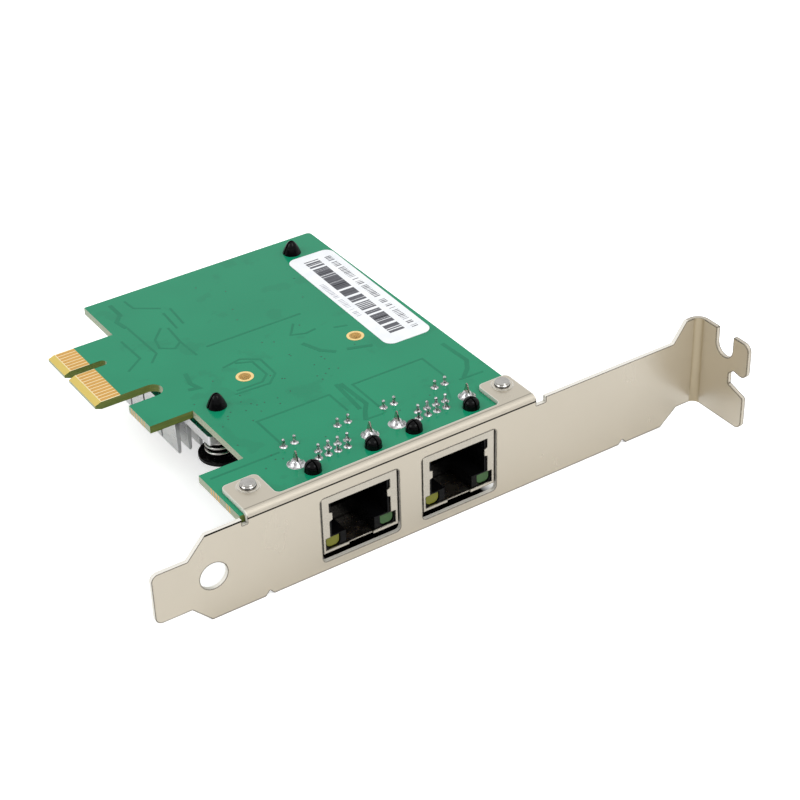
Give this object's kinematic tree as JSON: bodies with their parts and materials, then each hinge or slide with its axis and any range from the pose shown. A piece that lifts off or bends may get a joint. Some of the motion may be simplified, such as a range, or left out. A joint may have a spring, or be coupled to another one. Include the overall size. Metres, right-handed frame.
{
  "type": "network interface card",
  "caption": "Flat network interface card: green circuit board with shielded network jacks, a finned heat sink, gold edge contacts and a full-height metal slot bracket.",
  "frame": {"origin": "centre of the bounding box's base, solder side of the board facing up", "axes": "+X along the bracket towards its screw tab, +Y from the bracket's face into the card, +Z out of the board's solder side"},
  "size_m": [0.1208, 0.0938, 0.0225],
  "materials": {
    "laminate": "satin green mask",
    "gold": "satin",
    "paper": "matte",
    "plated_sheet": "satin",
    "screw_steel": "satin",
    "shell_metal": "bright",
    "black_nylon": "matte",
    "contact_metal": "bright",
    "yellow_lens": "gloss",
    "green_lens": "gloss",
    "solder": "bright",
    "heat_sink_metal": "satin",
    "gel": "matte",
    "spring_steel": "satin",
    "mould_black": "matte",
    "ceramic_tan": "matte",
    "resistor_black": "satin",
    "amber_mould": "satin",
    "winding_copper": "satin",
    "ferrite": "matte"
  },
  "bodies": {
    "root": {"bracket": "plated_sheet", "bracket_screws": "screw_steel", "ceramic_capacitors": "ceramic_tan", "chip_terminals": "solder", "circuit_board": "laminate", "crystal": "shell_metal", "edge_contacts_component_side": "gold", "edge_contacts_solder_side": "gold", "ethernet_controller": "mould_black", "flash_leads": "solder", "flash_memory": "mould_black", "heat_sink": "heat_sink_metal", "inductor_windings": "winding_copper", "label": "paper", "magnetics_leads": "solder", "magnetics_modules": "mould_black", "pin_solder_joints": "solder", "plated_hole_rings": "gold", "port_1_contacts": "contact_metal", "port_1_green_led": "green_lens", "port_1_housing": "black_nylon", "port_1_shield": "shell_metal", "port_1_yellow_led": "yellow_lens", "port_2_contacts": "contact_metal", "port_2_green_led": "green_lens", "port_2_housing": "black_nylon", "port_2_shield": "shell_metal", "port_2_yellow_led": "yellow_lens", "power_inductors": "ferrite", "push_pin_springs": "spring_steel", "push_pins": "black_nylon", "regulator_leads": "solder", "resistors": "resistor_black", "shield_solder_joints": "solder", "tantalum_capacitors": "amber_mould", "thermal_pad": "gel", "voltage_regulators": "mould_black"}
  },
  "joints": []
}
